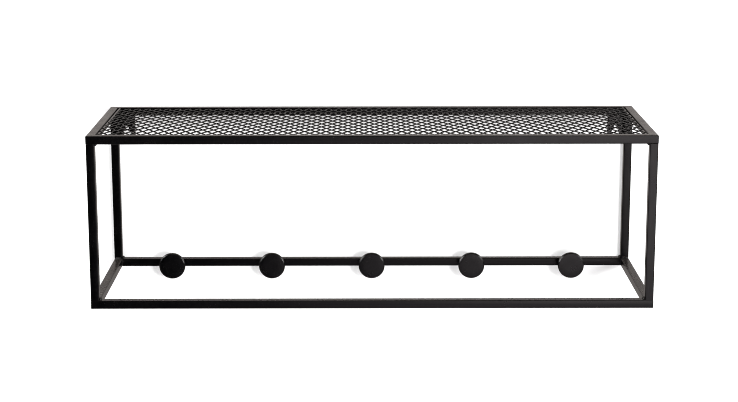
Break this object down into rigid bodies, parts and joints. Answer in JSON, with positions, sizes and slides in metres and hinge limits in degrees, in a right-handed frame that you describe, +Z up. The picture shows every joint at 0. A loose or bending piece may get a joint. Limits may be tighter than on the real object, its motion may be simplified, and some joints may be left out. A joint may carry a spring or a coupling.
{
  "type": "wall coat rack with hat shelf",
  "caption": "Wall-hung box frame of square steel tube with an expanded-metal hat shelf on top and round disc knobs for coats along the rear bottom rail",
  "frame": {"origin": "centre of the wall face of the rear top rail: mid length, mid height of the tube, on the wall plane", "axes": "+X along the rack to the right seen from the front, +Y into the wall, +Z up"},
  "size_m": [0.8, 0.25, 0.264],
  "materials": {
    "frame_paint": "satin black powder coat",
    "weld_paint": "satin black powder coat over weld beads",
    "mesh_paint": "satin black powder coat on expanded metal",
    "plate_paint": "satin black powder coat on flat bar",
    "knob_paint": "fine textured black powder coat",
    "screw_steel": "zinc plated"
  },
  "bodies": {
    "root": {"top_rail_front": "frame_paint", "top_rail_rear": "frame_paint", "top_rail_left": "frame_paint", "top_rail_right": "frame_paint", "bottom_rail_front": "frame_paint", "bottom_rail_rear": "frame_paint", "bottom_rail_left": "frame_paint", "bottom_rail_right": "frame_paint", "post_front_left": "frame_paint", "post_front_right": "frame_paint", "post_rear_left": "frame_paint", "post_rear_right": "frame_paint", "weld_top_front_left_long_rail": "weld_paint", "weld_top_front_left_short_rail": "weld_paint", "weld_top_front_right_long_rail": "weld_paint", "weld_top_front_right_short_rail": "weld_paint", "weld_top_rear_left_long_rail": "weld_paint", "weld_top_rear_left_short_rail": "weld_paint", "weld_top_rear_right_long_rail": "weld_paint", "weld_top_rear_right_short_rail": "weld_paint", "weld_bottom_front_left_long_rail": "weld_paint", "weld_bottom_front_left_short_rail": "weld_paint", "weld_bottom_front_right_long_rail": "weld_paint", "weld_bottom_front_right_short_rail": "weld_paint", "weld_bottom_rear_left_long_rail": "weld_paint", "weld_bottom_rear_left_short_rail": "weld_paint", "weld_bottom_rear_right_long_rail": "weld_paint", "weld_bottom_rear_right_short_rail": "weld_paint", "mesh_shelf": "mesh_paint", "hanging_plate_left": "plate_paint", "hanging_plate_right": "plate_paint", "knob_disc_1": "knob_paint", "knob_stem_1": "knob_paint", "knob_screw_1": "screw_steel", "knob_disc_2": "knob_paint", "knob_stem_2": "knob_paint", "knob_screw_2": "screw_steel", "knob_disc_3": "knob_paint", "knob_stem_3": "knob_paint", "knob_screw_3": "screw_steel", "knob_disc_4": "knob_paint", "knob_stem_4": "knob_paint", "knob_screw_4": "screw_steel", "knob_disc_5": "knob_paint", "knob_stem_5": "knob_paint", "knob_screw_5": "screw_steel"}
  },
  "joints": []
}
